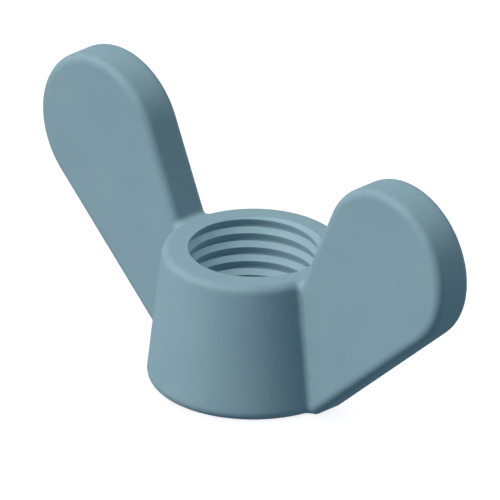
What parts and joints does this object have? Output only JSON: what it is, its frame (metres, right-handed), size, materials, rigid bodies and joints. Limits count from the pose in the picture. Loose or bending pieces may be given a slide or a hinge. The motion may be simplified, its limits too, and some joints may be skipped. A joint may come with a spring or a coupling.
{
  "type": "wing nut",
  "caption": "Wing nut with a conical threaded hub and upswept wings with rounded ends, made as a single body of matte coated metal.",
  "frame": {"origin": "centre of the threaded hole at the bearing face, the flat underside of the hub", "axes": "+Z along the thread's axis from the bearing face up to the wings, +X from the axis towards one wing, +Y across the wings' thickness"},
  "size_m": [0.0394, 0.0144, 0.0193],
  "materials": {
    "body": "matte blue-grey coating, fine even grain"
  },
  "bodies": {
    "root": {"wing_nut": "body"}
  },
  "joints": []
}
